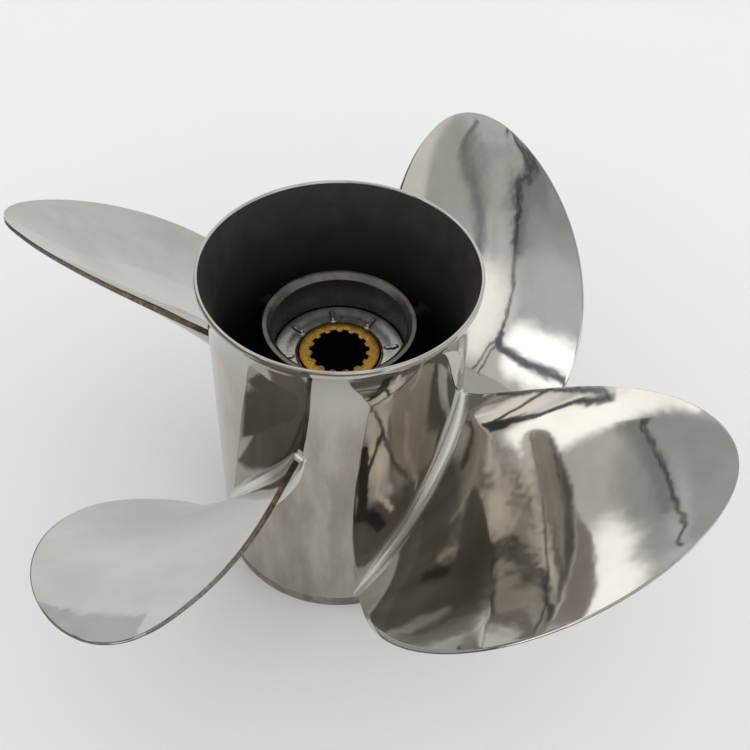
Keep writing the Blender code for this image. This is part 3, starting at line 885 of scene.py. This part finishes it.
def build_world():
    world = bpy.data.worlds.new("studio")
    world.use_nodes = True
    tree = world.node_tree
    back = tree.nodes["Background"]
    place = tree.nodes.new("ShaderNodeTexCoord").outputs["Generated"]

    def dot(vector):
        node = tree.nodes.new("ShaderNodeVectorMath")
        node.operation = "DOT_PRODUCT"
        tree.links.new(place, node.inputs[0])
        node.inputs[1].default_value = vector
        return node.outputs["Value"]

    def spread(value, low, high):
        node = tree.nodes.new("ShaderNodeMapRange")
        node.interpolation_type = "SMOOTHSTEP"
        tree.links.new(value, node.inputs["Value"])
        node.inputs["From Min"].default_value = low
        node.inputs["From Max"].default_value = high
        return node.outputs["Result"]

    def product(a, b):
        node = tree.nodes.new("ShaderNodeMath")
        node.operation = "MULTIPLY"
        tree.links.new(a, node.inputs[0])
        tree.links.new(b, node.inputs[1])
        return node.outputs[0]

    def paint(under, share, color):
        node = tree.nodes.new("ShaderNodeMix")
        node.data_type = "RGBA"
        tree.links.new(share, node.inputs["Factor"])
        if isinstance(under, tuple):
            node.inputs[6].default_value = (*under, 1.0)
        else:
            tree.links.new(under, node.inputs[6])
        node.inputs[7].default_value = (*color, 1.0)
        return node.outputs[2]

    up = dot((0.0, 0.0, 1.0))
    color = paint((0.72, 0.715, 0.70), spread(up, 0.0, 0.42), (0.62, 0.61, 0.59))
    for _, azimuth, elevation, core, outer, tint in SOFT_AREAS:
        near = spread(dot(direction(azimuth, elevation)), math.cos(math.radians(outer)), math.cos(math.radians(core)))
        color = paint(color, near, tint)
    side = spread(dot(direction(LOW_DARK_AZIMUTH, 0)), 0.28, 0.36)
    low = spread(up, math.sin(math.radians(18)), math.sin(math.radians(14.5)))
    color = paint(color, product(side, low), LOW_DARK)
    seen_in_metal = tree.nodes.new("ShaderNodeLightPath").outputs["Is Glossy Ray"]
    plain = tree.nodes.new("ShaderNodeMix")
    plain.data_type = "RGBA"
    tree.links.new(seen_in_metal, plain.inputs["Factor"])
    overhead = spread(up, math.sin(math.radians(20)), math.sin(math.radians(75)))
    tree.links.new(paint(PLAIN_LIGHT[0], overhead, PLAIN_LIGHT[1]), plain.inputs[6])
    tree.links.new(color, plain.inputs[7])
    tree.links.new(plain.outputs[2], back.inputs["Color"])
    back.inputs["Strength"].default_value = 1.0
    bpy.context.scene.world = world


def unlit(name, color, soft):
    """An unlit colour that fades out over the soft share of a card, towards where its mark "side" reaches 1."""
    made = bpy.data.materials.new(name)
    made.use_nodes = True
    tree = made.node_tree
    tree.nodes.clear()
    light = tree.nodes.new("ShaderNodeEmission")
    light.inputs["Color"].default_value = (*color, 1.0)
    side = tree.nodes.new("ShaderNodeAttribute")
    side.attribute_name = "side"
    fade = tree.nodes.new("ShaderNodeMapRange")
    fade.interpolation_type = "SMOOTHSTEP"
    fade.inputs["From Min"].default_value = 1.0 - soft
    tree.links.new(side.outputs["Fac"], fade.inputs["Value"])
    mixed = tree.nodes.new("ShaderNodeMixShader")
    tree.links.new(fade.outputs["Result"], mixed.inputs[0])
    tree.links.new(light.outputs[0], mixed.inputs[1])
    tree.links.new(tree.nodes.new("ShaderNodeBsdfTransparent").outputs[0], mixed.inputs[2])
    tree.links.new(mixed.outputs[0], tree.nodes.new("ShaderNodeOutputMaterial").inputs["Surface"])
    made.cycles.emission_sampling = "NONE"
    return made


def place_card(name, distance, points, faces, sides, color, soft):
    """A card on the studio's far shell that only mirror-like surfaces see."""
    centre = Vector(STUDIO_CENTRE)
    mesh = bpy.data.meshes.new(name)
    mesh.from_pydata([centre + point.normalized() * distance for point in points], [], faces)
    mesh.attributes.new("side", "FLOAT", "POINT").data.foreach_set("value", sides)
    mesh.materials.append(unlit(name, color, soft))
    made = link(name, mesh)
    made.visible_camera = False
    made.visible_diffuse = False
    made.visible_shadow = False


def build_band(name, distance, width, soft, color, path):
    middle = [direction(*spot) for spot in path]
    points = []
    for i, spot in enumerate(middle):
        ahead = middle[min(i + 1, len(middle) - 1)] - middle[max(i - 1, 0)]
        across = spot.cross(ahead).normalized() * math.tan(math.radians(width / 2))
        points += [spot - across, spot, spot + across]
    faces = []
    for i in range(0, len(points) - 3, 3):
        faces += [(i, i + 1, i + 4, i + 3), (i + 1, i + 2, i + 5, i + 4)]
    place_card(name, distance, points, faces, (1.0, 0.0, 1.0) * len(middle), color, soft)


def build_studio():
    build_floor()
    build_world()
    for name, color, outline in OPENINGS:
        place_card(name.replace(" ", "_"), STUDIO_RADIUS, [direction(*spot) for spot in outline],
                   [tuple(range(len(outline)))], (0.0,) * len(outline), color, 0.5)
    for i, (name, width, soft, color, path) in enumerate(BANDS):
        build_band(name.replace(" ", "_"), STUDIO_RADIUS - 0.3 * (i + 1), width, soft, color, path)


def main():
    polished = polished_steel("polished_stainless", (0.60, 0.59, 0.565), (0.68, 0.67, 0.645), 0.3, 0.000002,
                              satin_foot=True)
    # The tube's darker streaked colours show as painted shade on its side at -Y.
    tube = polished_steel("polished_tube", (0.38, 0.352, 0.30), (0.57, 0.54, 0.475), 0.7, 0.000004,
                          unshaded=(0.65, 0.635, 0.605))
    unpolished = unpolished_steel()
    dark = dark_casting()
    edge = edge_steel()
    made = [build_barrel(tube, unpolished, dark)]
    made += [build_blade(number + 1, polished, edge) for number in range(BLADES)]
    made.append(build_inner_hub(turned_steel()))
    made += [build_web(number + 1, dark) for number in range(BLADES)]
    made.append(build_bush(black_rubber()))
    made.append(build_sleeve(sintered_brass()))
    made.append(build_plate(stamped_steel()))
    for shell in made:
        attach(shell, "root")
    build_camera()
    build_studio()
    bpy.context.scene.view_settings.view_transform = "Standard"


main()
